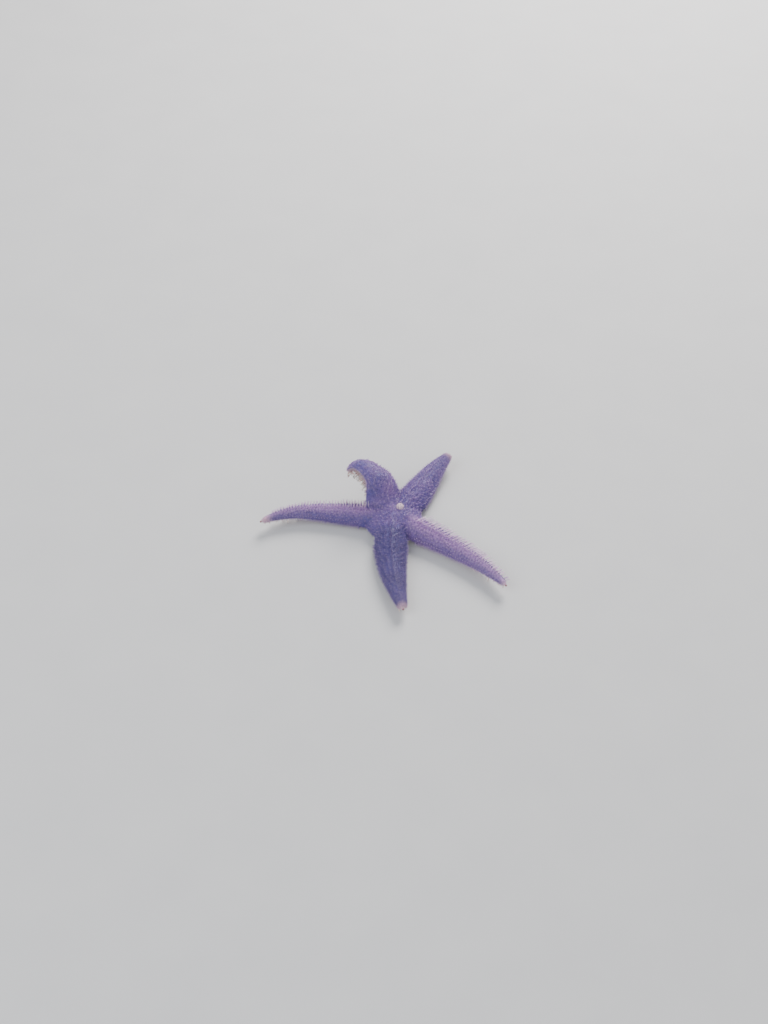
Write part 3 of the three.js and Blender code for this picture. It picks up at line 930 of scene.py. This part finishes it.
def papulaBed(arm):
    faces = np.array([tuple(face.vertices) for face in skinPiece.data.polygons])
    faces = faces[(skinMarks["owner"][faces] == arm.number).sum(1) >= 2]
    used, inverse = np.unique(faces, return_inverse=True)
    points = vectorArray(skinPiece.data.vertices, "co")[used]
    found = marksAt(points, skinNormals[used], arm.number)
    bed = meshObject("papulae_" + arm.name, points, inverse.reshape(faces.shape))
    thicket = (1 - found["under"]) * (1 - papulae["offPits"] * pit[used])
    thicket = thicket * (1 - papulae["offMounds"] * mound[used]) * (1 - papulae["offTip"] * found["tip"])
    keepAttribute(bed.data, "thicket", np.clip(thicket, 0, 1))
    keepAttribute(bed.data, "vigour", 1 - papulae["shrink"] * found["u"] ** 2)
    for key in ("blush", "tip", "under"):
        keepAttribute(bed.data, key, found[key])
    keepAttribute(bed.data, "unwrap", found["unwrap"], "FLOAT_VECTOR")
    return bed


for arm in arms:
    growOn(papulaBed(arm), "papula", Seed=papulae["seed"] + arm.number, **papulae["strewing"])
growOn(rootMesh("spines_back", backPlot), "spine")
growOn(rootMesh("spines_edge", edgePlot), "spine")
growOn(rootMesh("spines_sole", soleSpines()), "spine")
growOn(rootMesh("threads", fringeThreads()), "thread")


# a wreath of tiny pincers stands round each spine
wreath = dict(count=6, uneven=0.25, ring=0.22, raised=0.12, splay=0.45, tall=0.26, thick=0.062)


def wreathPlot(plot):
    across = unit(np.cross(plot["way"], np.array([0.31, 0.17, 0.93])))  # any way that no spine points in
    beyond = np.cross(plot["way"], across)
    plots = []
    for k in range(wreath["count"]):
        shift = dice.uniform(-wreath["uneven"], wreath["uneven"], len(plot["point"]))
        turn = 2 * math.pi * (k + shift) / wreath["count"]
        out = across * np.cos(turn)[:, None] + beyond * np.sin(turn)[:, None]
        points = plot["point"] + out * wreath["ring"] + plot["way"] * wreath["raised"]
        plots.append(plant(points, plot["way"] + wreath["splay"] * out, wreath["tall"], wreath["thick"]))
    return gathered(plots)


growOn(rootMesh("pincers_back", wreathPlot(backPlot)), "bead")
growOn(rootMesh("pincers_edge", wreathPlot(edgePlot)), "bead")


# four rows of tube feet stand in each groove; where an arm is lifted they reach out free
feet = dict(
    offs=(-0.25, -0.11, 0.11, 0.25), pitch=0.74, wander=0.12, stagger=0.37, start=3.2, end=0.97,
    thick=0.2, shrink=0.35, sunk=0.1,
    standing=(1.1, 2.5),  # fewer and fewer stand where the groove is this high over the floor
    steepest=-0.8, stepAside=(-0.1, 0.4), stepAlong=0.25, lag=0.6, bow=0.09, touch=0.01,
    free=1.6, fromGroove=0.35, plump=1.2, curl=0.15, splay=0.45, scatter=0.12, floor=0.45,
)


def footAt(arm, u, off):  # what plant needs to know of one foot
    half = float((arm.half(u) - skin["coat"])[0])
    down = -arm.at(u, arm.up)[0]
    base = arm.point(u, off * half, underSole(half))[0]
    hit, _, _, _ = skinTree.ray_cast(Vector(base), Vector(-down), 4.0)
    if hit is None:
        return []
    root = np.array(hit) - feet["sunk"] * down
    side = arm.at(u, arm.left)[0] * np.sign(off)
    size = 1 - feet["shrink"] * float(u[0])
    if down[2] < feet["steepest"] and dice.random() > ease(base[2], *feet["standing"]):
        tall = root[2] - feet["touch"]
        step = side * dice.uniform(*feet["stepAside"])
        step = step + arm.at(u, arm.along)[0] * dice.normal(0, feet["stepAlong"])
        drift = (step[0] * tall * feet["lag"], step[1] * tall * feet["lag"], 0)
        thick = feet["thick"] * size * dice.uniform(0.8, 1.15)
        bow = (*dice.normal(0, feet["bow"], 2) * tall, 0)
        return [(root, (0, 0, -1), tall, thick, drift, bow)]
    reach = feet["free"] * arm.footReach * size * dice.uniform(0.55, 1.15)
    way = down + side * feet["splay"] * dice.uniform(0.4, 1.4)
    way = unit(way + dice.normal(0, feet["scatter"], 3))
    room = (root[2] - feet["floor"]) / max(-way[2], 0.05)
    tall = min(reach + feet["fromGroove"] * half, room)
    thick = feet["thick"] * arm.footReach * size * feet["plump"]
    return [(root, way, tall, thick, (0, 0, 0), dice.normal(0, feet["curl"], 3))]


def footPlot():
    found = []
    for arm in arms:
        for row, off in enumerate(feet["offs"]):
            start = feet["start"] + feet["stagger"] * (row % 2)
            for u in alongArm(arm, start, feet["end"], feet["pitch"] / arm.footReach, feet["wander"]):
                found += footAt(arm, np.array([u]), off)
    return plant(*(np.array(values, float) for values in zip(*found)))


growOn(rootMesh("feet", footPlot()), "foot")


def bands(rings, sectors, count):  # faces between rings of points, in order
    return [
        (r * sectors + k, r * sectors + (k + 1) % sectors,
         (r + 1) % rings * sectors + (k + 1) % sectors, (r + 1) % rings * sectors + k)
        for r in range(count) for k in range(sectors)
    ]


def polarGrid(rings, sectors):  # the point after the rings is the middle
    last = (rings - 1) * sectors
    middle = [(last + k, last + (k + 1) % sectors, rings * sectors) for k in range(sectors)]
    return bands(rings, sectors, rings - 1) + middle


def makeSieve():  # a low button with winding furrows from its rim to its middle
    centre, outward = onDisc(math.radians(sieve["heading"]), sieve["out"])
    turn = turns(sieve["sectors"])
    share = np.concatenate([[1.0, 1.0], np.linspace(1, 0.02, sieve["rings"] - 2)])
    t, r = np.meshgrid(turn, share)
    rise = sieve["proud"] * np.sqrt(np.maximum(1 - r ** 2.6, 0))
    rise[0], rise[1] = -sieve["skirt"], -0.1
    outer = np.sin(sieve["grooves"] * t + 2.2 * np.sin(3 * t + 7 * r) + 1.1 * np.sin(7 * t - 5 * r))
    inner = np.sin(11 * t + 2.6 * np.sin(2 * t + 6 * r) + 8 * r)
    middle = np.sin(5 * t + 3 * np.sin(t + 4 * r))
    wave = np.where(r > 0.62, outer, np.where(r > 0.3, inner, middle))
    onRim = np.arange(len(share))[:, None] < 2
    furrow = ease(-wave, -0.1, 0.75) * ease(r, 0.05, 0.2) * np.where(onRim, 0.4, 1)
    hollow = np.exp(-((r / sieve["dimpleWidth"]) ** 2))
    rise = rise - sieve["depth"] * furrow * (1 - 0.5 * (r > 0.97)) - sieve["dimple"] * hollow
    furrow = np.maximum(furrow, hollow)
    reach = sieve["radius"] * r * (1 - 0.035 * furrow * (r > 0.9))
    across = unit(np.cross(outward, np.array([0, 1.0, 0])))
    beyond = np.cross(outward, across)
    spread = (reach * np.cos(t))[..., None] * across + (reach * np.sin(t))[..., None] * beyond
    points = centre + spread + rise[..., None] * outward
    points = np.vstack([points.reshape(-1, 3), centre + outward * (sieve["proud"] - sieve["dimple"])])
    under = [tuple(range(sieve["sectors"] - 1, -1, -1))]
    thing = meshObject("madreporite_plate", points, polarGrid(sieve["rings"], sieve["sectors"]) + under)
    keepAttribute(thing.data, "furrow", np.append(furrow.ravel(), 1))
    dressed(thing, finishes["sieve"])
    finished(thing, "madreporite", "madreporite")


eyes = dict(
    radius=0.245, bead=0.045, beads=46, spread=0.19, rings=22, sectors=34, pole=0.06, sunk=0.4, raised=-0.05,
    turn=2.39996,  # from one bead to the next, so that they lie evenly
)


def makeEye(arm):  # a cushion of tiny red cups
    place = arm.middle[-1] - eyes["sunk"] * arm.along[-1] + eyes["raised"] * arm.up[-1]
    polar = np.linspace(eyes["pole"], math.pi - eyes["pole"], eyes["rings"])
    turn = turns(eyes["sectors"])
    p, t = np.meshgrid(polar, turn, indexing="ij")
    ways = np.stack([np.sin(p) * np.cos(t), np.sin(p) * np.sin(t), np.cos(p)], -1).reshape(-1, 3)
    ways = np.vstack([ways, (0, 0, -1), (0, 0, 1)])
    k = np.arange(eyes["beads"])
    z = 1 - (2 * k + 1) / eyes["beads"]
    level = np.sqrt(1 - z ** 2)
    cups = np.stack([level * np.cos(eyes["turn"] * k), level * np.sin(eyes["turn"] * k), z], -1)
    gap = np.arccos(np.clip(ways @ cups.T, -1, 1)).min(1)
    bead = np.exp(-((gap / eyes["spread"]) ** 2))
    points = place + ways * (eyes["radius"] + eyes["bead"] * bead)[:, None]
    top = len(points) - 1
    faces = polarGrid(eyes["rings"], eyes["sectors"])
    faces += [((k + 1) % eyes["sectors"], k, top) for k in range(eyes["sectors"])]
    thing = meshObject("ocelli_" + arm.name, points, faces)
    keepAttribute(thing.data, "bead", bead)
    dressed(thing, finishes["eye"])
    finished(thing, "eyespot", "eyespot_" + arm.name)


mouth = dict(
    radius=2.1, bottom=1.92, top=2.44, dished=0.28, folds=15, fold=0.045, ripple=0.03, sectors=120,
    lip=((0.57, 2.2), (0.56, 2.3), (0.6, 2.38)), rim=((2.08, 2.38), (2.1, 2.1)),
)


def makeMouth():  # a puckered membrane round the opening
    turn = turns(mouth["sectors"])
    radius, bottom = mouth["radius"], mouth["bottom"]
    out = np.linspace(2.08, 0.62, 14)
    under = [(r, bottom + mouth["dished"] * ((radius - r) / radius) ** 1.5) for r in out]
    over = [(r, mouth["top"]) for r in np.linspace(0.8, 2.0, 6)]
    profile = under + list(mouth["lip"]) + over + list(mouth["rim"])
    rings, folds = [], []
    for r, z in profile:
        wave = np.sin(mouth["folds"] * turn + 0.8 * np.sin(3 * turn)) * ease(radius - r, 0.1, 0.9)
        reach = r + mouth["ripple"] * wave
        sag = (1.0 if z < 2.25 else 0.3) * mouth["fold"] * (wave - 1)
        rings.append(np.stack([reach * np.cos(turn), reach * np.sin(turn), z - sag], -1))
        folds.append(0.5 - 0.5 * wave)
    points = np.vstack(rings) + overMouth(0)
    faces = [(a, d, c, b) for a, b, c, d in bands(len(profile), mouth["sectors"], len(profile))]
    thing = meshObject("mouth_membrane", points, faces)
    keepAttribute(thing.data, "fold", np.concatenate(folds))
    dressed(thing, finishes["mouth"])
    finished(thing, "mouth", "mouth")


jaws = dict(  # each spine's way out from the mouth, its turn from the corner, and its length
    spines=((2.45, -0.22, 1.15), (2.45, 0.22, 1.15), (2.9, -0.34, 0.95), (2.9, 0.0, 0.95), (2.9, 0.34, 0.95)),
    lean=0.75, drop=0.7, sunk=0.1, thick=0.16, floor=0.12,
)


def jawSpines():  # they lean in over the mouth from the five corners between the grooves
    points, ways, tall = [], [], []
    headings = sorted(arm.heading for arm in arms)
    for heading, after in zip(headings, headings[1:] + [headings[0] + 360]):
        between = math.radians((heading + after) / 2)
        for out, aside, length in jaws["spines"]:
            away = np.array([math.cos(between + aside), math.sin(between + aside), 0])
            start = Vector(overMouth(0) + away * out)
            hit, _, _, _ = skinTree.ray_cast(start, Vector((0, 0, 1)), 3.0)
            if hit is not None:
                points.append(np.array(hit) + (0, 0, jaws["sunk"]))
                ways.append(-jaws["lean"] * away + np.array([0, 0, -jaws["drop"]]))
                tall.append(length)
    points, tall = np.array(points), np.array(tall)
    return plant(points, aboveFloor(points, unit(np.array(ways)), tall, jaws["floor"]), tall, jaws["thick"])


makeSieve()
for arm in arms:
    makeEye(arm)
makeMouth()
growOn(rootMesh("spines_jaw", jawSpines()), "spine")
flesh = ["disc"] + ["arm_" + arm.name for arm in arms] + ["tip_" + arm.name for arm in arms]
finished(skinPiece, "disc_skin", *flesh)
print(len(pieces), "pieces", flush=True)

view = dict(  # pixels to the metre, and how many the mouth stands off the frame's middle
    scale=3700, across=-10, upward=14, frameHeight=1024, distance=0.45, elevation=45, sensor=36,
)


def makeCamera():
    tilt = math.radians(view["elevation"])
    upward = Vector((0, math.sin(tilt), math.cos(tilt)))
    back = Vector((0, -math.cos(tilt), math.sin(tilt)))
    target = Vector((*body["mouth"], 0)) * mm + Vector((view["across"] / view["scale"], 0, 0))
    target += upward * (view["upward"] / view["scale"])
    camera = bpy.data.cameras.new("camera")
    camera.sensor_width = camera.sensor_height = view["sensor"]
    camera.sensor_fit = "VERTICAL"
    camera.lens = view["scale"] * view["distance"] / view["frameHeight"] * view["sensor"]
    camera.clip_start, camera.clip_end = 0.01, 20
    holder = bpy.data.objects.new("camera", camera)
    bpy.context.scene.collection.objects.link(holder)
    holder.location = target + back * view["distance"]
    holder.rotation_euler = (target - holder.location).to_track_quat("-Z", "Y").to_euler()
    bpy.context.scene.camera = holder


lamps = (
    dict(name="key", place=(0.16, 0.46, 0.36), size=0.32, power=5.6, colour=(1.0, 0.97, 0.94)),
    dict(name="fill", place=(-0.38, -0.2, 0.42), size=0.5, power=1.8, colour=(0.93, 0.96, 1.0)),
    dict(name="front", place=(0.1, -0.5, 0.3), size=0.5, power=0.9, colour=(1.0, 1.0, 1.0)),
)
sky = {"Color": (0.8, 0.83, 0.88, 1), "Strength": 0.6}


def makeLights():
    for lamp in lamps:
        light = bpy.data.lights.new(lamp["name"], "AREA")
        light.shape, light.size = "DISK", lamp["size"]
        light.energy, light.color = lamp["power"], lamp["colour"]
        holder = bpy.data.objects.new(lamp["name"], light)
        bpy.context.scene.collection.objects.link(holder)
        holder.location = lamp["place"]
        holder.rotation_euler = (-holder.location).to_track_quat("-Z", "Y").to_euler()
    world = bpy.data.worlds.new("studio")
    bpy.context.scene.world = world
    world.use_nodes = True
    for key, value in sky.items():
        world.node_tree.nodes["Background"].inputs[key].default_value = value


def makeFloor(half=2):
    corners = [(-half, -half, 0), (half, -half, 0), (half, half, 0), (-half, half, 0)]
    floor = meshObject("floor", corners, [(0, 1, 2, 3)])
    floor.data.materials.append(finishes["floor"])


makeCamera()
makeLights()
makeFloor()
print("scene ready", flush=True)
